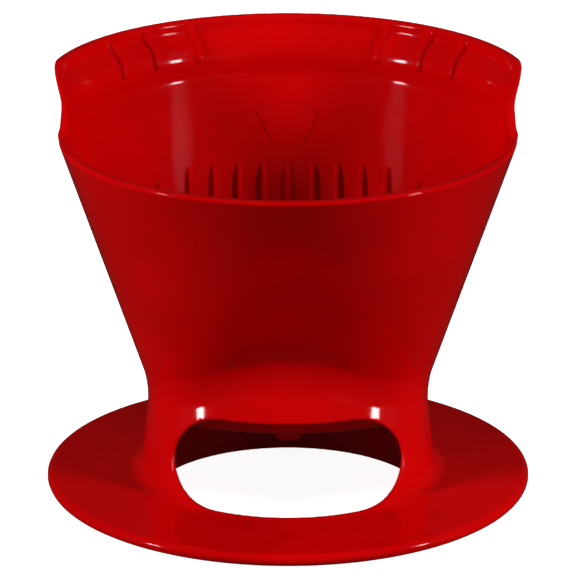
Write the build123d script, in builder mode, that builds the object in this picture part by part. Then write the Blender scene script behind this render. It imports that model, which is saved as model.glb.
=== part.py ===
"""Pour over dripper for No. 2 cone papers, one glossy injection moulding that stands on a mug.

The moulding is split into its separate features, one solid or one group of solids to a file.
They meet face to face. Millimetres, +Z up, origin on the resting plane under the cup ring.
The low side of the rim faces -Y and the high side faces +Y.
"""

import os
from math import cos, radians, sin

from build123d import *

# Driving dimensions, millimetres.
total_height = 110.0
wall = 2.6
leaning_wall = 2.7

# Base flange, which rests on the mug, and the ring that drops inside the mug's mouth.
flange_radius = 60.0
flange_thickness = 3.0
cup_ring_height = 6.2
cup_ring_radius = 37.4
mouth_radius = 34.6
cup_ring_chamfer = 0.6

# Stand collar between the flange and the cone, round at its foot and oval at its top.
collar_foot_radius = 36.6
collar_wall = 2.0
shoulder_z = 32.1
shoulder_half_width = 34.2
shoulder_half_depth = 26.5
collar_top_z = 41.0
collar_top_half_width = 33.0
collar_top_half_depth = 22.5

# Window in the front of the collar: a long slot with full round ends. The flange closes its foot.
window_width = 55.4
window_top_z = 29.7
window_foot_z = 7.7

# Wedge cone: a slot section at its floor that opens to a circle at the front rim.
cone_foot_z = 20.7
cone_top_z = 95.2
cone_top_radius = 56.0
slot_half_length = 20.6
slot_radius = 10.3

# Cone floor, dished so that it drains to one hole with a short nozzle under it.
floor_thickness = 2.5
floor_rise = 1.9
floor_rise_at = 20.0
drip_hole_radius = 1.9
nozzle_radius = 3.4
nozzle_foot_z = 16.5

# Rim: low in front. Round the back the wall carries on up and steps out into a lip.
# A ramp at each side joins the low front to the lip, in a smooth S seen from the side.
lip_outer_radius = 59.2
lip_wall = 2.5
lip_foot_z = 101.2
lip_step_head_z = 107.0
ramp_front_y = -4.0
ramp_back_y = 15.5
ramp_level_run = 0.40
ramp_steep_run = 0.45
ramp_steep_rise = 0.55

# Ribs that hold the paper off the wall.
rib_width = 1.2
rib_proud = 1.3
rib_pitch = 6.28
rib_top_z = 75.7
side_rib_foot_z = 38.0
side_rib_tops = {48.0: 74.0, 17.5: 83.0}
flat_rib_count = 9

# Ribs over the step of the back lip.
lip_rib_azimuths = (25.0, 38.0, 50.0)
lip_rib_sweep = 1.9
lip_rib_proud = 0.9
lip_rib_foot_z = 98.9
lip_rib_head_z = 108.8

# Blank filter-size field on the inside of the back wall: a raised fan outline.
mark_foot_z = 78.9
mark_head_z = 89.4
mark_shoulder_z = 87.0
mark_half_foot = 3.6
mark_half_head = 8.3
mark_line = 0.6
mark_proud = 0.3

# Derived sizes.
flange_top_z = cup_ring_height + flange_thickness
cone_inner_top_radius = cone_top_radius - leaning_wall
lip_inner_radius = lip_outer_radius - lip_wall
lip_top_radius = (lip_outer_radius - lip_inner_radius) / 2
lip_centre_radius = (lip_outer_radius + lip_inner_radius) / 2
crown_z = total_height - lip_top_radius
floor_radius = (floor_rise_at**2 + floor_rise**2) / (2 * floor_rise)
floor_axis_z = cone_foot_z + floor_radius
reach = 2 * flange_radius


def wedge(slot_r, top_r):
    """The cone as a solid: a slot section at its foot that opens to a circle at its top.

    Two leaning half cones stand at the ends, with flat-faced triangles of wall between them.
    """
    with BuildPart() as middle:
        with BuildSketch(Plane.XZ):
            with BuildLine():
                Polyline(
                    (-slot_half_length, cone_foot_z),
                    (slot_half_length, cone_foot_z),
                    (0, cone_top_z),
                    close=True,
                )
            make_face()
        extrude(amount=reach, both=True)
        with BuildSketch(Plane.YZ):
            with BuildLine():
                Polyline(
                    (-slot_r, cone_foot_z),
                    (slot_r, cone_foot_z),
                    (top_r, cone_top_z),
                    (-top_r, cone_top_z),
                    close=True,
                )
            make_face()
        extrude(amount=reach, both=True, mode=Mode.INTERSECT)
    with BuildPart() as body:
        add(middle.part)
        for end in (1, -1):
            for z, centre_x, radius in (
                (cone_foot_z, end * slot_half_length, slot_r),
                (cone_top_z, 0, top_r),
            ):
                with BuildSketch(Plane.XY.offset(z)):
                    with BuildLine():
                        Line((centre_x, -radius), (centre_x, radius))
                        ThreePointArc(
                            (centre_x, radius), (centre_x + end * radius, 0), (centre_x, -radius)
                        )
                    make_face()
            loft(ruled=True)
    return body.part


def floor_roller(radius):
    """A cylinder along Y whose underside is a dished floor surface."""
    with BuildPart() as roller:
        with BuildSketch(Plane.XZ):
            with Locations((0, floor_axis_z)):
                Circle(radius)
        extrude(amount=flange_radius, both=True)
    return roller.part


def write(builder, name):
    """Label a finished piece and write its STEP file."""
    builder.part.label = name
    export_step(builder.part, f"parts/{name}.step")


os.makedirs("parts", exist_ok=True)

# Shared shapes that the pieces are cut from, and where they meet.
wedge_outside = wedge(slot_radius, cone_top_radius)
wedge_inside = wedge(slot_radius - wall, cone_inner_top_radius)
wedge_rib_line = wedge(slot_radius - wall - rib_proud, cone_inner_top_radius - rib_proud)
wedge_mark_line = wedge(slot_radius - wall - mark_proud, cone_inner_top_radius - mark_proud)
floor_underside = floor_roller(floor_radius)
floor_topside = floor_roller(floor_radius - floor_thickness)

# Filter cone: the wedge's wall, open at the top and closed by the floor.
with BuildPart() as filter_cone:
    add(wedge_outside)
    add(floor_underside, mode=Mode.INTERSECT)
    add(wedge_inside, mode=Mode.SUBTRACT)
write(filter_cone, "filter_cone")

# Cone floor with the drip hole at its lowest point.
with BuildPart() as cone_floor:
    add(wedge_inside)
    add(floor_underside, mode=Mode.INTERSECT)
    add(floor_topside, mode=Mode.SUBTRACT)
    with Locations((0, 0, cone_foot_z)):
        Cylinder(drip_hole_radius, 4 * floor_thickness, mode=Mode.SUBTRACT)
write(cone_floor, "cone_floor")

# Drip nozzle under the floor.
with BuildPart() as drip_nozzle:
    with BuildSketch(Plane.XY.offset(nozzle_foot_z)):
        Circle(nozzle_radius)
        Circle(drip_hole_radius, mode=Mode.SUBTRACT)
    extrude(amount=cone_foot_z - nozzle_foot_z + floor_rise)
    add(floor_underside, mode=Mode.SUBTRACT)
write(drip_nozzle, "drip_nozzle")

# Stand collar: an oval-to-round skirt outside the wedge, with the window cut in its front.
with BuildPart() as stand_collar:
    with BuildSketch(Plane.XY.offset(flange_top_z)):
        Circle(collar_foot_radius)
    with BuildSketch(Plane.XY.offset(shoulder_z)):
        Ellipse(shoulder_half_width, shoulder_half_depth)
    with BuildSketch(Plane.XY.offset(collar_top_z)):
        Ellipse(collar_top_half_width, collar_top_half_depth)
    loft()
    with BuildSketch(Plane.XY.offset(flange_top_z)):
        Circle(mouth_radius)
    with BuildSketch(Plane.XY.offset(shoulder_z)):
        Ellipse(shoulder_half_width - collar_wall, shoulder_half_depth - collar_wall)
    with BuildSketch(Plane.XY.offset(collar_top_z)):
        Ellipse(collar_top_half_width - collar_wall, collar_top_half_depth - collar_wall)
    loft(mode=Mode.SUBTRACT)
    add(wedge_outside & floor_underside, mode=Mode.SUBTRACT)
    window_height = window_top_z - window_foot_z
    with BuildSketch(Plane.XZ):
        with Locations((0, window_foot_z + window_height / 2)):
            SlotOverall(window_width, window_height)
    extrude(amount=reach, mode=Mode.SUBTRACT)
write(stand_collar, "stand_collar")

# Base flange: a flat saucer with a full round edge.
with BuildPart() as base_flange:
    edge_radius = flange_thickness / 2
    edge_centre = flange_radius - edge_radius
    with BuildSketch(Plane.XZ):
        with BuildLine():
            Line((mouth_radius, cup_ring_height), (edge_centre, cup_ring_height))
            ThreePointArc(
                (edge_centre, cup_ring_height),
                (flange_radius, cup_ring_height + edge_radius),
                (edge_centre, flange_top_z),
            )
            Line((edge_centre, flange_top_z), (mouth_radius, flange_top_z))
            Line((mouth_radius, flange_top_z), (mouth_radius, cup_ring_height))
        make_face()
    revolve(axis=Axis.Z)
write(base_flange, "base_flange")

# Cup ring: keeps the flange centred on the mug.
with BuildPart() as cup_ring:
    with BuildSketch(Plane.XY):
        Circle(cup_ring_radius)
        Circle(mouth_radius, mode=Mode.SUBTRACT)
    extrude(amount=cup_ring_height)
    chamfer(cup_ring.edges().group_by(Axis.Z)[0].sort_by(SortBy.RADIUS)[-1], cup_ring_chamfer)
write(cup_ring, "cup_ring")

# Everything above and ahead of the rim's ramp is open.
with BuildPart() as ramp_cut:
    ramp_length = ramp_back_y - ramp_front_y
    ramp_height = total_height - cone_top_z
    with BuildSketch(Plane.YZ):
        with BuildLine():
            Bezier(
                (ramp_front_y, cone_top_z),
                (ramp_front_y + ramp_length * ramp_level_run, cone_top_z),
                (
                    ramp_front_y + ramp_length * ramp_steep_run,
                    cone_top_z + ramp_height * ramp_steep_rise,
                ),
                (ramp_back_y, total_height),
            )
            Polyline(
                (ramp_back_y, total_height),
                (ramp_back_y, total_height + wall),
                (-reach, total_height + wall),
                (-reach, cone_top_z),
                (ramp_front_y, cone_top_z),
            )
        make_face()
    extrude(amount=reach, both=True)

# Back wall: the cone's round top carried straight up behind the ramps.
with BuildPart() as back_wall:
    with BuildSketch(Plane.XY.offset(cone_top_z)):
        Circle(cone_top_radius)
        Circle(cone_inner_top_radius, mode=Mode.SUBTRACT)
    extrude(amount=lip_foot_z - cone_top_z)
    add(ramp_cut.part, mode=Mode.SUBTRACT)
write(back_wall, "back_wall")

# Back lip: stepped out from the back wall, with a full round top.
with BuildPart() as back_lip:
    with BuildSketch(Plane.XZ):
        with BuildLine():
            Polyline(
                (lip_inner_radius, crown_z),
                (lip_inner_radius, lip_step_head_z),
                (cone_inner_top_radius, lip_foot_z),
                (cone_top_radius, lip_foot_z),
                (lip_outer_radius, crown_z),
            )
            ThreePointArc(
                (lip_outer_radius, crown_z),
                (lip_centre_radius, total_height),
                (lip_inner_radius, crown_z),
            )
        make_face()
    revolve(axis=Axis.Z)
    add(ramp_cut.part, mode=Mode.SUBTRACT)
write(back_lip, "back_lip")

# Paper ribs of the back wall: upright ones across the flat and leaning ones round the ends.
with BuildPart() as paper_ribs_back:
    with Locations((0, 0, cone_foot_z)):
        with GridLocations(rib_pitch, 0, flat_rib_count, 1):
            Box(
                rib_width,
                cone_top_radius,
                rib_top_z - cone_foot_z,
                align=(Align.CENTER, Align.MIN, Align.MIN),
            )
    for lean in (1, -1):
        for angle, top_z in side_rib_tops.items():
            outward = Vector(lean * cos(radians(angle)), sin(radians(angle)), 0)
            end_line = Vector(-lean * slot_half_length, 0, cone_top_z - cone_foot_z)
            foot = Vector(lean * slot_half_length, 0, cone_foot_z)
            foot += end_line * ((side_rib_foot_z - cone_foot_z) / end_line.Z)
            rib_plane = Plane(origin=foot, x_dir=outward, z_dir=outward.cross(end_line))
            rib_length = (top_z - side_rib_foot_z) / rib_plane.y_dir.Z
            with BuildSketch(rib_plane):
                Rectangle(cone_top_radius, rib_length, align=(Align.MIN, Align.MIN))
            extrude(amount=rib_width / 2, both=True)
    add(wedge_inside, mode=Mode.INTERSECT)
    add(floor_topside, mode=Mode.INTERSECT)
    add(wedge_rib_line, mode=Mode.SUBTRACT)
write(paper_ribs_back, "paper_ribs_back")

# The front wall has the same ribs, mirrored.
with BuildPart() as paper_ribs_front:
    mirror(paper_ribs_back.part, about=Plane.XZ)
write(paper_ribs_front, "paper_ribs_front")

# Lip ribs: short radial ribs that run from the lip down over its step.
with BuildPart() as lip_ribs:
    for azimuth in lip_rib_azimuths:
        for turn in (azimuth, -azimuth):
            with BuildSketch(Plane.XZ.rotated((0, 0, 90 + turn - lip_rib_sweep / 2))):
                with BuildLine():
                    Polyline(
                        (lip_inner_radius, lip_rib_head_z),
                        (lip_inner_radius, lip_step_head_z),
                        (cone_inner_top_radius, lip_foot_z),
                        (cone_inner_top_radius, lip_rib_foot_z),
                        (cone_inner_top_radius - lip_rib_proud, lip_rib_foot_z + lip_rib_proud),
                        (cone_inner_top_radius - lip_rib_proud, lip_foot_z + lip_rib_proud / 2),
                        (lip_inner_radius - lip_rib_proud, lip_step_head_z + lip_rib_proud / 2),
                        (lip_inner_radius, lip_rib_head_z),
                    )
                make_face()
            revolve(axis=Axis.Z, revolution_arc=lip_rib_sweep)
write(lip_ribs, "lip_ribs")

# Size mark: a raised fan outline on the back wall, with nothing written in it.
with BuildPart() as size_mark:
    with BuildSketch(Plane.XZ):
        with BuildLine():
            Line((-mark_half_foot, mark_foot_z), (mark_half_foot, mark_foot_z))
            Line((mark_half_foot, mark_foot_z), (mark_half_head, mark_shoulder_z))
            ThreePointArc(
                (mark_half_head, mark_shoulder_z),
                (0, mark_head_z),
                (-mark_half_head, mark_shoulder_z),
            )
            Line((-mark_half_head, mark_shoulder_z), (-mark_half_foot, mark_foot_z))
        make_face()
        offset(amount=-mark_line, mode=Mode.SUBTRACT)
    extrude(amount=-cone_top_radius)
    add(wedge_inside, mode=Mode.INTERSECT)
    add(wedge_mark_line, mode=Mode.SUBTRACT)
write(size_mark, "size_mark")
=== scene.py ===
"""Pour over dripper: the looks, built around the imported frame.

The real object is one seamless glossy moulding. So its shape is described once, by one smooth
field in millimetres that is negative inside the plastic. The field is meshed piece by piece: each
CAD node's region of it becomes one closed piece. Neighbours share surface normals where they meet,
so no seam shows. Ribs and the blank size mark are reliefs laid on the same surface.
"""

import math

import bmesh
import bpy
import numpy as np
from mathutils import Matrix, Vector


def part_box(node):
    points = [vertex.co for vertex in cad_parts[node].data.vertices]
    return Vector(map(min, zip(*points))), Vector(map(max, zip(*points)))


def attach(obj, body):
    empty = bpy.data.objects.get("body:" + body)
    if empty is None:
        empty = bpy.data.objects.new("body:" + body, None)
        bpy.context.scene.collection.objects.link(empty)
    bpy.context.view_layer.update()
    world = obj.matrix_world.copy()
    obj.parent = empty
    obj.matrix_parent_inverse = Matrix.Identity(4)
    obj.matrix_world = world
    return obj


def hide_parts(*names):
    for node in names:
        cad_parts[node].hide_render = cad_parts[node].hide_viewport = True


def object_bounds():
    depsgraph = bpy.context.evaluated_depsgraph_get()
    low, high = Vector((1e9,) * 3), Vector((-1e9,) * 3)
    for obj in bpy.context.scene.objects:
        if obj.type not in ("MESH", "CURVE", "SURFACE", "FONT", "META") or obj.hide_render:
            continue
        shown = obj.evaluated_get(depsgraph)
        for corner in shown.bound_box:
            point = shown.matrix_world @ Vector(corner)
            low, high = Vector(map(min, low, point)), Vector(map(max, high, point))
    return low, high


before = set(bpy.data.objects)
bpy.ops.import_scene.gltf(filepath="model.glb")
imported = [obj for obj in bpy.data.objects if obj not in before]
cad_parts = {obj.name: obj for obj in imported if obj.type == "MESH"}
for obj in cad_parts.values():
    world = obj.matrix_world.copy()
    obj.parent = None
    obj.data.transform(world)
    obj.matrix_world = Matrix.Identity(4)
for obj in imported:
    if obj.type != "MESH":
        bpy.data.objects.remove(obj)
cad_low, cad_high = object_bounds()

MM = 1000.0


def span(node, axis):
    """A CAD node's lowest and highest coordinate along an axis, in millimetres."""
    low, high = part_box(node)
    return low[axis] * MM, high[axis] * MM


# Sizes read from the frame, millimetres.
FLANGE_FOOT, FLANGE_TOP = span("base_flange", 2)
FLANGE_R = span("base_flange", 0)[1]
RING_R = span("cup_ring", 0)[1]
CONE_FOOT, CONE_TOP = span("filter_cone", 2)
CONE_R = span("filter_cone", 0)[1]
NOZZLE_FOOT = span("drip_nozzle", 2)[0]
NOZZLE_R = span("drip_nozzle", 0)[1]
COLLAR_R = span("stand_collar", 0)[1]
LIP_FOOT = span("back_wall", 2)[1]
RIM_TOP = span("back_lip", 2)[1]
LIP_R = span("back_lip", 1)[1]

# The wedge cone: a slot section at its foot that opens to a circle.
SLOT_HALF = 20.6
SLOT_R = 10.3
WALL = 2.7
CONE_HEIGHT = CONE_TOP - CONE_FOOT
LEAN_RADIUS = (CONE_R - SLOT_R) / CONE_HEIGHT
LEAN_HALF = SLOT_HALF / CONE_HEIGHT

# The floor is dished along X and drains through one hole.
FLOOR_THICKNESS = 2.5
FLOOR_BEND_R = 106.2
DRIP_R = 1.9

# The rim: an S-shaped ramp from the low front to the back lip, which steps outward.
RAMP_FRONT, RAMP_BACK = -4.0, 15.5
UPRIGHT_INSET, UPRIGHT_INSET_EASE = 0.5, 0.6
LIP_WALL = 2.5
STEP_INSIDE = (LIP_FOOT, RIM_TOP - 3.0)
STEP_TURNS = (2.4, 0.6)
BEND = 1.2
STEP_OUTSIDE = (LIP_FOOT, RIM_TOP - 0.8)
STEP_TURNS_OUTSIDE = (1.6, 1.2)
BEND_OUTSIDE = 0.4
STEP_DEPTH_INSIDE = LIP_R - LIP_WALL - CONE_R + WALL
STEP_DEPTH_OUTSIDE = LIP_R - CONE_R + UPRIGHT_INSET

# The collar: round at its foot, oval where it meets the cone, with a window in front.
COLLAR_WALL = 2.0
SKIRT_HEIGHT = 26
COLLAR_LEAN_X = 0.105
COLLAR_LEAN_Y = 0.441
WINDOW_HALF = 27.7
WINDOW_FOOT, WINDOW_TOP = 7.7, 29.7
WINDOW_END_TOP, WINDOW_END_FOOT = 12.0, 10.5

# Fillets and rounded edges.
FILLET_SIDE, FILLET_FRONT = 2.0, 5.0
FILLET_FLANGE = 3.0
WINDOW_ROUND = 0.9
MOUTH_ROUND = 2.4
EDGE_ROUND = 0.5
FOOT_ROUND = 1.3
RING_FILLET, NOZZLE_FILLET, FLOOR_FILLET = 0.8, 0.8, 1.6


def soft(u, width):
    """0 below -width, u above width, and a parabola between. Returns the value and its slope."""
    middle = (u + width) ** 2 / (4 * width)
    value = np.where(u > width, u, np.where(u < -width, 0.0, middle))
    slope = np.clip((u + width) / (2 * width), 0.0, 1.0)
    return value, slope


def meet(a, b, r):
    """Intersection of two fields, with their shared edge rounded to radius r."""
    return np.minimum(np.maximum(a, b), -r) + np.hypot(np.maximum(a + r, 0), np.maximum(b + r, 0))


def join(a, b, r):
    """Union of two fields, with a fillet of radius r in the corner between them."""
    return -meet(-a, -b, r)


def cone_side(x, y, z, top_r, turn, step, step_turns, step_depth):
    """Distance from the cone's side: the wedge, then the upright wall, then the lip's step."""
    drop, drop_slope = soft(CONE_TOP - z, turn)
    foot, foot_slope = soft(z - step[0], step_turns[0])
    head, head_slope = soft(z - step[1], step_turns[1])
    flare = step_depth / (step[1] - step[0])
    radius = top_r - LEAN_RADIUS * drop + flare * (foot - head)
    beyond = np.maximum(np.abs(x) - LEAN_HALF * drop, 0)
    reach = np.maximum(np.hypot(beyond, y), 1e-6)
    slope = LEAN_RADIUS * drop_slope + flare * (foot_slope - head_slope)
    slope = slope - beyond / reach * LEAN_HALF * drop_slope
    return (reach - radius) / np.sqrt(1 + slope**2)


def cone_outside(x, y, z):
    """Distance from the cone's outer face. Above the bend it is set in a little."""
    inset = UPRIGHT_INSET * (1 - np.exp(-np.maximum(z - CONE_TOP, 0) / UPRIGHT_INSET_EASE))
    return cone_side(x, y, z, CONE_R - inset, BEND_OUTSIDE,
                     STEP_OUTSIDE, STEP_TURNS_OUTSIDE, STEP_DEPTH_OUTSIDE)


def cone_inside(x, y, z):
    """Distance from the cone's inner face."""
    return cone_side(x, y, z, CONE_R - WALL, BEND, STEP_INSIDE, STEP_TURNS, STEP_DEPTH_INSIDE)


def rim_above(y, z):
    """Distance above the rim's edge, and how far up the ramp that is, from 0 to 1."""
    u = np.clip((y - RAMP_FRONT) / (RAMP_BACK - RAMP_FRONT), 0, 1)
    height = RIM_TOP - CONE_TOP
    climb = u * u * (3 - 2 * u)
    slope = height * 6 * u * (1 - u) / (RAMP_BACK - RAMP_FRONT)
    return (z - CONE_TOP - height * climb) / np.sqrt(1 + slope**2), climb


def floor_below(x, z, thickness):
    """Distance below the dished floor's surface at that height above its underside."""
    return CONE_FOOT + thickness + x**2 / (2 * FLOOR_BEND_R) - z


def collar_outside(x, y, z):
    """Distance from the collar's outer face: an oval that turns into a circle at the flange."""
    rise = np.maximum(z - FLANGE_TOP, 0)
    half_x = COLLAR_R - COLLAR_LEAN_X * rise
    half_y = COLLAR_R - COLLAR_LEAN_Y * rise
    near = np.maximum(np.sqrt((x / half_x) ** 2 + (y / half_y) ** 2), 1e-6)
    steep = np.maximum(np.sqrt((x / half_x**2) ** 2 + (y / half_y**2) ** 2), 1e-6)
    frontness = (y / half_y / near) ** 2
    lean = COLLAR_LEAN_X * (1 - frontness) + COLLAR_LEAN_Y * frontness
    lean = lean * np.clip(rise / 3, 0, 1)
    return near * (near - 1) / steep / np.sqrt(1 + lean**2)


def window(x, y, z):
    """The window's opening: a slot with round ends, cut through the front of the collar."""
    end = np.where(z > (WINDOW_TOP + WINDOW_FOOT) / 2, WINDOW_END_TOP, WINDOW_END_FOOT)
    across = np.abs(x) - WINDOW_HALF + end
    along = np.maximum(z - WINDOW_TOP, WINDOW_FOOT - z) + end
    corner = np.hypot(np.maximum(across, 0), np.maximum(along, 0))
    return np.maximum(corner + np.minimum(np.maximum(across, along), 0) - end, y)


def stand(x, y, z):
    """The collar, flange and cup ring, hollow underneath."""
    around = np.hypot(x, y)
    outside = collar_outside(x, y, z)
    skirt = np.maximum(outside, np.maximum(z - CONE_FOOT - SKIRT_HEIGHT, FLANGE_FOOT + 1 - z))
    skirt = meet(skirt, -window(x, y, z), WINDOW_ROUND)
    half = (FLANGE_TOP - FLANGE_FOOT) / 2
    level = z - FLANGE_FOOT - half
    flange = meet(np.abs(level) - half, around - FLANGE_R, half)
    ring = np.maximum(meet(around - RING_R, -z, EDGE_ROUND), z - FLANGE_FOOT - 1)
    base = join(flange, ring, RING_FILLET)
    at_flange = np.clip((z - 4) / 3, 0, 1) * np.clip((FLANGE_TOP + 2 - z) / 2, 0, 1)
    edge = EDGE_ROUND + (MOUTH_ROUND - EDGE_ROUND) * at_flange
    return meet(join(skirt, base, FILLET_FLANGE), -outside - COLLAR_WALL, edge)


def cone_body(x, y, z):
    """The cone as if it were solid, with its nozzle."""
    body = meet(cone_outside(x, y, z), floor_below(x, z, 0.0), FOOT_ROUND)
    nozzle = meet(np.hypot(x, y) - NOZZLE_R, NOZZLE_FOOT - z, EDGE_ROUND)
    return join(body, np.maximum(nozzle, z - CONE_FOOT - 1), NOZZLE_FILLET)


def plastic(x, y, z):
    """The whole moulding, without its ribs."""
    around = np.maximum(np.hypot(x, y), 1e-6)
    fillet = FILLET_SIDE + (FILLET_FRONT - FILLET_SIDE) * (y / around) ** 2
    solid = join(cone_body(x, y, z), stand(x, y, z), fillet)
    hollow = meet(cone_inside(x, y, z), floor_below(x, z, FLOOR_THICKNESS), FLOOR_FILLET)
    above, climb = rim_above(y, z)
    solid = meet(solid, above, 1.05 + 0.2 * climb)
    solid = np.maximum(solid, meet(-hollow, above, 0.45 + 0.75 * climb))
    return meet(solid, DRIP_R - around, EDGE_ROUND)


# Which part of the plastic belongs to which node. Each function is negative in its node's region.
# The cuts lie inside the material and cross its surface squarely, away from flat faces.
RING_CUT = FLANGE_FOOT - 0.3
FLANGE_CUT = FLANGE_TOP + 1.2
COLLAR_CUT = CONE_FOOT + 25.3
COLLAR_INSET = 1.6
WALL_CUT = CONE_TOP + 0.5
WALL_FRONT = RAMP_FRONT + 0.2 * (RAMP_BACK - RAMP_FRONT)
SKIN = 1.2
FLOOR_INSET = 2.0


# Meshing: the grid's pitch, the moves that settle a point, and the grid's margin round a node.
PITCH = 0.62
SETTLE_STEPS = 5
MARGIN = 9.0


def near_collar(x, y, z):
    """Negative where the collar and its fillets reach, down to half the cone wall's depth."""
    skin = -cone_body(x, y, z) - SKIN
    inner = -collar_outside(x, y, z) - COLLAR_WALL - COLLAR_INSET
    level = np.maximum(z - COLLAR_CUT, FLANGE_CUT - z)
    return np.maximum(np.maximum(skin, inner), level)


def floor_region(x, y, z):
    """Negative in the cone's floor, inside its wall."""
    top = z - CONE_FOOT - 8
    return np.maximum(cone_inside(x, y, z) + FLOOR_INSET, np.maximum(top, CONE_FOOT - 0.5 - z))


REGIONS = {
    "cup_ring": lambda x, y, z: z - RING_CUT,
    "base_flange": lambda x, y, z: np.maximum(RING_CUT - z, z - FLANGE_CUT),
    "stand_collar": near_collar,
    "drip_nozzle": lambda x, y, z: np.maximum(z - CONE_FOOT + 0.5, np.hypot(x, y) - 6),
    "cone_floor": floor_region,
    "filter_cone": lambda x, y, z: np.maximum(
        np.maximum(np.minimum(z - WALL_CUT, y - WALL_FRONT), CONE_FOOT - 0.5 - z),
        np.maximum(-near_collar(x, y, z), -floor_region(x, y, z)),
    ),
    "back_wall": lambda x, y, z: np.maximum(
        np.maximum(WALL_CUT - z, WALL_FRONT - y), z - LIP_FOOT
    ),
    "back_lip": lambda x, y, z: LIP_FOOT - z,
}


def slope_of(field, points, value):
    """A field's gradient at points where its value is known, by small steps."""
    step = 0.02
    columns = []
    for axis in range(3):
        moved = points.copy()
        moved[:, axis] += step
        columns.append((field(*moved.T) - value) / step)
    return np.stack(columns, 1)


def settle(points, field, home, reach):
    """Moves points onto a field's zero surface, staying near where they started."""
    value = field(*points.T)
    slope = slope_of(field, points, value)
    length = np.maximum((slope**2).sum(1), 0.05)
    moved = points - slope * (value / length)[:, None]
    return np.clip(moved, home - reach, home + reach)


def settle_on_edge(points, field, region, home, reach):
    """Moves points onto a field's zero surface and a region's cut at once."""
    f, g = field(*points.T), region(*points.T)
    a, b = slope_of(field, points, f), slope_of(region, points, g)
    aa, ab, bb = (a * a).sum(1), (a * b).sum(1), (b * b).sum(1)
    spread = np.maximum(aa * bb - ab**2, 0.02)
    moved = points - a * ((bb * f - ab * g) / spread)[:, None]
    moved -= b * ((aa * g - ab * f) / spread)[:, None]
    return np.clip(moved, home - reach, home + reach)


def cut_surface(field, region, low, high, pitch):
    """Meshes the part of a solid that lies in a region. Returns points, quads and a cap flag each.

    One point is placed in each grid cell that the surface crosses, and moved onto the surface.
    Where the surface meets the region's cut, it is moved onto both.
    """
    axes = [np.arange(low[a], high[a] + pitch, pitch) for a in range(3)]
    grid = np.meshgrid(*axes, indexing="ij")
    inside_of = field(*grid)
    cut = region(*grid)
    both = np.maximum(inside_of, cut)
    shape = both.shape
    solid = both < 0
    quads, caps = [], []
    cell_count = shape[0] * shape[1] * shape[2]
    total = np.zeros((cell_count, 3))
    hits = np.zeros(cell_count)
    touches = np.zeros((cell_count, 2), bool)
    strides = np.array([shape[1] * shape[2], shape[2], 1])
    for axis in range(3):
        first = [slice(None)] * 3
        second = [slice(None)] * 3
        first[axis] = slice(0, -1)
        second[axis] = slice(1, None)
        crossing = solid[tuple(first)] != solid[tuple(second)]
        index = np.argwhere(crossing)
        side_axes = [a for a in range(3) if a != axis]
        keep = np.all(index[:, side_axes] > 0, 1)
        index = index[keep]
        ahead = index.copy()
        ahead[:, axis] += 1
        a, b = both[tuple(index.T)], both[tuple(ahead.T)]
        part = a / (a - b)
        fa, fb = inside_of[tuple(index.T)], inside_of[tuple(ahead.T)]
        ga, gb = cut[tuple(index.T)], cut[tuple(ahead.T)]
        is_cap = ga + part * (gb - ga) > fa + part * (fb - fa)
        where = index.astype(float)
        where[:, axis] += part
        flat = index @ strides
        u, v = strides[(axis + 1) % 3], strides[(axis + 2) % 3]
        corners = np.stack([flat, flat - u, flat - u - v, flat - v], 1)
        backward = solid[tuple(ahead.T)]
        corners[backward] = corners[backward][:, ::-1]
        quads.append(corners)
        caps.append(is_cap)
        for k in range(4):
            np.add.at(total, corners[:, k], where)
            np.add.at(hits, corners[:, k], 1)
            touches[corners[~is_cap][:, k], 0] = True
            touches[corners[is_cap][:, k], 1] = True
    quads = np.concatenate(quads)
    caps = np.concatenate(caps)
    used, quads = np.unique(quads, return_inverse=True)
    quads = quads.reshape(-1, 4)
    origin = np.array([axis[0] for axis in axes])
    points = total[used] / hits[used][:, None] * pitch + origin
    home = points.copy()
    on_surface, on_cut = touches[used, 0], touches[used, 1]
    on_both = on_surface & on_cut
    reach = 0.9 * pitch
    for sheet, where in ((field, on_surface & ~on_both), (region, on_cut & ~on_both)):
        for _ in range(SETTLE_STEPS):
            points[where] = settle(points[where], sheet, home[where], reach)
    for _ in range(SETTLE_STEPS):
        points[on_both] = settle_on_edge(points[on_both], field, region, home[on_both], reach)
    return points, quads, caps


def mesh_of(name, points, faces):
    """A mesh in metres from points in millimetres."""
    mesh = bpy.data.meshes.new(name)
    mesh.from_pydata((points / MM).tolist(), [], faces.tolist())
    return mesh


def show(name, mesh):
    """Puts a mesh in the scene, in red plastic, in place of the CAD node of the same name."""
    mesh.materials.append(moulded_red)
    piece = bpy.data.objects.new(name, mesh)
    bpy.context.scene.collection.objects.link(piece)
    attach(piece, "root")
    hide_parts(name)


def shade_smooth(mesh):
    mesh.polygons.foreach_set("use_smooth", [True] * len(mesh.polygons))


def unit(vectors):
    """The same directions, each of length 1."""
    return vectors / np.maximum(np.linalg.norm(vectors, axis=-1, keepdims=True), 1e-9)


def moulded_piece(node):
    """One node's share of the moulding, with the field's own normals except on its cut faces."""
    low = np.array(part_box(node)[0]) * MM - MARGIN
    high = np.array(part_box(node)[1]) * MM + MARGIN
    points, quads, caps = cut_surface(plastic, REGIONS[node], low, high, PITCH)
    smooth = unit(slope_of(plastic, points, plastic(*points.T)))
    a, b, c, d = (points[quads[:, k]] for k in range(4))
    flat = unit(np.cross(c - a, d - b))
    normals = smooth[quads]
    normals[caps] = flat[caps][:, None, :]
    mesh = mesh_of(node, points, quads)
    shade_smooth(mesh)
    mesh.normals_split_custom_set(normals.reshape(-1, 3).tolist())
    show(node, mesh)


# Reliefs: small raised features on the cone's inner face.
RIB_PITCH = 6.28
RIB_PROUD = 1.3
RIB_HALF_TOP, RIB_HALF_FOOT = 0.3, 1.0
RIB_TOP = CONE_FOOT + 55.0
RIB_ENDS, LEANING_RIB_ENDS = (0.0, 0.09), (0.08, 0.08)
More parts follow.
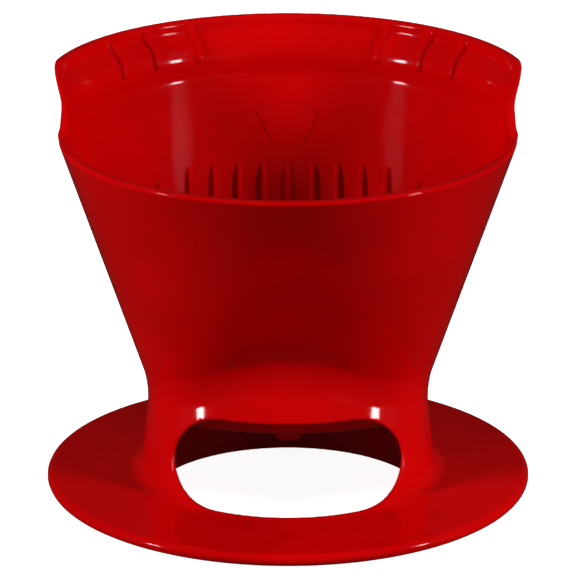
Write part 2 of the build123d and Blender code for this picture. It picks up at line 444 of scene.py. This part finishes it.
# Each leaning rib's angle round the slot's end, and the heights of its foot and top.
LEANING_RIBS = ((48.0, 38.0, 74.0), (17.5, 38.0, 83.0))
LIP_RIB_AZIMUTHS = (25.0, 38.0, 50.0)
LIP_RIB_PROUD = 0.9
LIP_RIB_HALF_TOP, LIP_RIB_HALF_FOOT = 0.45, 1.35
LIP_RIB_ENDS = (0.18, 0.25)
LIP_RIB_SWAY, LIP_RIB_SWAY_HEIGHT = 1.3, 1.8
MARK_SHOULDER_DROP = 2.4
MARK_HALF_FOOT = 3.6
MARK_LINE_HALF = 0.45
MARK_PROUD = 0.3
ROOT_DEPTH = 0.7
ROOT_OVERLAP = 0.02


def inner_radius(z):
    """Radius of the cone's inner face about its end centres, at each height."""
    drop = soft(CONE_TOP - z, BEND)[0]
    foot = soft(z - STEP_INSIDE[0], STEP_TURNS[0])[0]
    head = soft(z - STEP_INSIDE[1], STEP_TURNS[1])[0]
    flare = STEP_DEPTH_INSIDE / (STEP_INSIDE[1] - STEP_INSIDE[0])
    return CONE_R - WALL - LEAN_RADIUS * drop + flare * (foot - head)


def slot_half(z):
    """Half the distance between the inner face's end centres, at each height."""
    return LEAN_HALF * soft(CONE_TOP - z, BEND)[0]


def on_back(across, z, side=1):
    """The inner face's point at an x and a height, on the back (side 1) or the front (-1)."""
    beyond = np.maximum(np.abs(across) - slot_half(z), 0)
    y = np.sqrt(np.maximum(inner_radius(z) ** 2 - beyond**2, 0))
    return np.stack([across, side * y, z], -1)


def on_end(across, z, angle, lean, side):
    """The inner face's point beside the straight line that leans up a slot end at an angle."""
    turn = math.radians(angle) + across / inner_radius(z)
    x = slot_half(z) + inner_radius(z) * np.cos(turn)
    return np.stack([lean * x, side * inner_radius(z) * np.sin(turn), z], -1)


def on_lip(across, z, azimuth):
    """The inner face's point beside the line that runs up the lip at an azimuth from +Y.

    The line sways away from the middle of the lip where it crosses the step's upper edge.
    """
    sway = LIP_RIB_SWAY * np.exp(-((z - STEP_INSIDE[1]) / LIP_RIB_SWAY_HEIGHT) ** 2)
    turn = math.radians(azimuth) + (across + math.copysign(1, azimuth) * sway) / inner_radius(z)
    return np.stack([inner_radius(z) * np.sin(turn), inner_radius(z) * np.cos(turn), z], -1)


def eased(share):
    """0 to 1 with level ends."""
    return share * share * (3 - 2 * share)


def rise_and_fall(along, start, end):
    """0 at both ends of a relief and 1 between, eased over the start and end shares."""
    up = np.clip(along / max(start, 1e-6), 0, 1)
    down = np.clip((1 - along) / max(end, 1e-6), 0, 1)
    return up * (2 - up) * down * (2 - down)


def relief_strip(place, heights, proud, half_top, half_foot, ends):
    """A closed ridge laid on the inner face along a line of heights. Returns points and quads."""
    across = np.linspace(-1, 1, 15)
    share = np.clip((1 - np.abs(across)) / (1 - half_top / half_foot), 0, 1)
    profile = eased(share)
    along = np.linspace(0, 1, len(heights))
    ease = rise_and_fall(along, *ends)
    u, z = np.meshgrid(across * half_foot, heights)
    wall = place(u.ravel(), z.ravel())
    return raised(wall, proud * profile[None, :] * ease[:, None], len(heights), len(across))


def raised(wall, lift, rows, columns):
    """A closed skin that stands off the inner face by a lift, and is rooted in the wall."""
    outward = unit(slope_of(cone_inside, wall, cone_inside(*wall.T)))
    front = wall - outward * (lift.ravel()[:, None] - ROOT_OVERLAP)
    return closed_sheet(front, wall + outward * ROOT_DEPTH, rows, columns)


def closed_sheet(front, rear, rows, columns):
    """Joins two matching grids of points into one closed skin."""
    index = np.arange(rows * columns).reshape(rows, columns)
    a, b, c, d = index[:-1, :-1], index[:-1, 1:], index[1:, 1:], index[1:, :-1]
    face = np.stack([a.ravel(), b.ravel(), c.ravel(), d.ravel()], 1)
    back = face[:, ::-1] + rows * columns
    loop = np.concatenate([index[0, :-1], index[:-1, -1], index[-1, :0:-1], index[:0:-1, 0]])
    after = np.roll(loop, -1)
    side = np.stack([after, loop, loop + rows * columns, after + rows * columns], 1)
    return np.concatenate([front, rear]), np.concatenate([face, back, side])


def relief_piece(name, strips):
    """Several closed ridges as one piece, smooth-shaded on their raised faces."""
    points, faces, start = [], [], 0
    for strip_points, strip_faces in strips:
        points.append(strip_points)
        faces.append(strip_faces + start)
        start += len(strip_points)
    mesh = mesh_of(name, np.concatenate(points), np.concatenate(faces))
    work = bmesh.new()
    work.from_mesh(mesh)
    bmesh.ops.recalc_face_normals(work, faces=work.faces)
    work.to_mesh(mesh)
    work.free()
    shade_smooth(mesh)
    mesh.set_sharp_from_angle(angle=math.radians(50))
    show(name, mesh)


def paper_ribs(name, side):
    """The upright and leaning ribs of one wall of the cone."""
    strips = []
    for step in range(-4, 5):
        x = step * RIB_PITCH
        floor = CONE_FOOT + FLOOR_THICKNESS + x**2 / (2 * FLOOR_BEND_R)
        heights = np.linspace(floor - 0.5, RIB_TOP, 90)
        strips.append(relief_strip(
            lambda u, z, x=x: on_back(x + u, z, side),
            heights, RIB_PROUD, RIB_HALF_TOP, RIB_HALF_FOOT, RIB_ENDS,
        ))
    for angle, foot, top in LEANING_RIBS:
        for lean in (1, -1):
            strips.append(relief_strip(
                lambda u, z, angle=angle, lean=lean: on_end(u, z, angle, lean, side),
                np.linspace(foot, top, 70),
                RIB_PROUD, RIB_HALF_TOP, RIB_HALF_FOOT, LEANING_RIB_ENDS,
            ))
    relief_piece(name, strips)


def lip_ribs():
    """The short radial ribs that run from the lip down over its step."""
    low, high = span("lip_ribs", 2)
    strips = []
    for azimuth in LIP_RIB_AZIMUTHS:
        for side in (1, -1):
            strips.append(relief_strip(
                lambda u, z, a=azimuth * side: on_lip(u, z, a),
                np.linspace(low, high, 60),
                LIP_RIB_PROUD, LIP_RIB_HALF_TOP, LIP_RIB_HALF_FOOT, LIP_RIB_ENDS,
            ))
    relief_piece("lip_ribs", strips)


def part_way(start, end, count=12):
    """Evenly spaced points from a start up to, but not including, an end."""
    return [tuple(np.array(start) + (np.array(end) - start) * k / count) for k in range(count)]


def size_mark():
    """The blank raised fan outline on the back wall."""
    low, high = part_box("size_mark")
    foot, head, half_head = low.z * MM, high.z * MM, high.x * MM
    arc_r = (half_head**2 + MARK_SHOULDER_DROP**2) / (2 * MARK_SHOULDER_DROP)
    arc_end = math.asin(half_head / arc_r)
    arc = [(arc_r * math.sin(t), head - arc_r + arc_r * math.cos(t))
           for t in np.linspace(arc_end, -arc_end, 25)]
    left, right = (-MARK_HALF_FOOT, foot), (MARK_HALF_FOOT, foot)
    outline = part_way(left, right) + part_way(right, arc[0]) + arc[:-1] + part_way(arc[-1], left)
    path = np.array(outline + [outline[0]])
    across = np.linspace(-1, 1, 9)
    profile = eased(np.clip((1 - np.abs(across)) / 0.6, 0, 1))
    outward = unit(path - np.array([0.0, (foot + head) / 2]))
    depth = across * MARK_LINE_HALF + MARK_LINE_HALF
    rows = path[:, None, :] - outward[:, None, :] * depth[None, :, None]
    wall = on_back(rows[..., 0].ravel(), rows[..., 1].ravel())
    lift = np.tile(MARK_PROUD * profile, len(path))
    relief_piece("size_mark", [raised(wall, lift, len(path), len(across))])


def moulded_plastic():
    """Glossy red plastic with a faint flow mottle, fine surface ripple and slightly worn gloss."""
    material = bpy.data.materials.new("moulded_red")
    material.use_nodes = True
    nodes, links = material.node_tree.nodes, material.node_tree.links
    shader = nodes["Principled BSDF"]
    place = nodes.new("ShaderNodeTexCoord")
    mottle = nodes.new("ShaderNodeTexNoise")
    mottle.inputs["Scale"].default_value = 28
    mottle.inputs["Detail"].default_value = 4
    tint = nodes.new("ShaderNodeValToRGB")
    tint.color_ramp.elements[0].position = 0.35
    tint.color_ramp.elements[0].color = (0.50, 0.0005, 0.0012, 1)
    tint.color_ramp.elements[1].position = 0.65
    tint.color_ramp.elements[1].color = (0.60, 0.0008, 0.0016, 1)
    links.new(place.outputs["Object"], mottle.inputs["Vector"])
    links.new(mottle.outputs["Fac"], tint.inputs["Fac"])
    links.new(tint.outputs["Color"], shader.inputs["Base Color"])
    wear = nodes.new("ShaderNodeTexNoise")
    wear.inputs["Scale"].default_value = 140
    wear.inputs["Detail"].default_value = 5
    gloss = nodes.new("ShaderNodeMapRange")
    gloss.inputs["To Min"].default_value = 0.05
    gloss.inputs["To Max"].default_value = 0.11
    links.new(place.outputs["Object"], wear.inputs["Vector"])
    links.new(wear.outputs["Fac"], gloss.inputs["Value"])
    links.new(gloss.outputs["Result"], shader.inputs["Roughness"])
    ripple = nodes.new("ShaderNodeTexNoise")
    ripple.inputs["Scale"].default_value = 60
    ripple.inputs["Detail"].default_value = 2
    bump = nodes.new("ShaderNodeBump")
    bump.inputs["Strength"].default_value = 0.06
    bump.inputs["Distance"].default_value = 0.001
    links.new(place.outputs["Object"], ripple.inputs["Vector"])
    links.new(ripple.outputs["Fac"], bump.inputs["Height"])
    links.new(bump.outputs["Normal"], shader.inputs["Normal"])
    shader.inputs["IOR"].default_value = 1.49
    shader.inputs["Specular IOR Level"].default_value = 0.5
    return material


def pale_floor():
    """The plain pale surface that the dripper stands on. It isn't part of the object.

    It glows a little, and neither lights the plastic nor shows in its gloss.
    """
    material = bpy.data.materials.new("floor_paint")
    material.use_nodes = True
    shader = material.node_tree.nodes["Principled BSDF"]
    shader.inputs["Base Color"].default_value = (0.95, 0.95, 0.95, 1)
    shader.inputs["Roughness"].default_value = 0.9
    shader.inputs["Emission Color"].default_value = (1, 1, 1, 1)
    shader.inputs["Emission Strength"].default_value = 0.93
    mesh = bpy.data.meshes.new("floor")
    half = 4.0
    mesh.from_pydata([(-half, -half, 0), (half, -half, 0), (half, half, 0), (-half, half, 0)],
                     [], [(0, 1, 2, 3)])
    mesh.materials.append(material)
    floor = bpy.data.objects.new("floor", mesh)
    floor.location.z = cad_low[2]
    floor.visible_glossy = False
    floor.visible_diffuse = False
    bpy.context.scene.collection.objects.link(floor)


def softbox(name, place, aim, size, power, mirrored):
    """A square area light that faces a point, in metres and watts. Gloss shows it if mirrored."""
    light = bpy.data.lights.new(name, "AREA")
    light.size = size
    light.energy = power
    lamp = bpy.data.objects.new(name, light)
    lamp.location = place
    lamp.rotation_euler = (aim - place).to_track_quat("-Z", "Y").to_euler()
    lamp.visible_glossy = mirrored
    bpy.context.scene.collection.objects.link(lamp)


def studio():
    """Matched pairs of soft boxes at both sides and a weak one above, in a dark surround.

    Only the glint pair shows in the gloss. The others light the plastic without a highlight.
    """
    middle = Vector((0, 0, 0.06))
    for name, azimuth, elevation, size, power, mirrored in (
        ("key", 64, 27, 0.2, 6.3, False),
        ("glint", 63, 10, 0.11, 1.0, True),
        ("fill", 76, 6, 0.4, 2.0, False),
        ("low", 34, 6, 0.4, 0.8, False),
    ):
        turn, rise = math.radians(azimuth), math.radians(elevation)
        ahead = -math.cos(turn) * math.cos(rise)
        for side in (1, -1):
            way = Vector((side * math.sin(turn) * math.cos(rise), ahead, math.sin(rise)))
            softbox(f"{name}_box", middle + way, middle, size, power, mirrored)
    softbox("top_box", Vector((0, -0.09, 1.06)), middle, 0.5, 0.5, False)
    world = bpy.data.worlds.new("surround")
    world.use_nodes = True
    world.node_tree.nodes["Background"].inputs["Color"].default_value = (0.012, 0.012, 0.012, 1)
    bpy.context.scene.world = world
    bpy.context.scene.view_settings.view_transform = "Standard"


def camera():
    """A long lens in front of the dripper, a little above it."""
    distance, elevation, aim_height = 1.0, math.radians(18.83), 0.0556
    lens = bpy.data.cameras.new("camera")
    lens.sensor_width = 36
    lens.lens = 254
    view = bpy.data.objects.new("camera", lens)
    view.location.y = -distance * math.cos(elevation)
    view.location.z = aim_height + distance * math.sin(elevation)
    view.rotation_euler = (math.pi / 2 - elevation, 0, 0)
    bpy.context.scene.collection.objects.link(view)
    bpy.context.scene.camera = view


moulded_red = moulded_plastic()
for node_name in REGIONS:
    moulded_piece(node_name)
paper_ribs("paper_ribs_back", 1)
paper_ribs("paper_ribs_front", -1)
lip_ribs()
size_mark()
pale_floor()
studio()
camera()
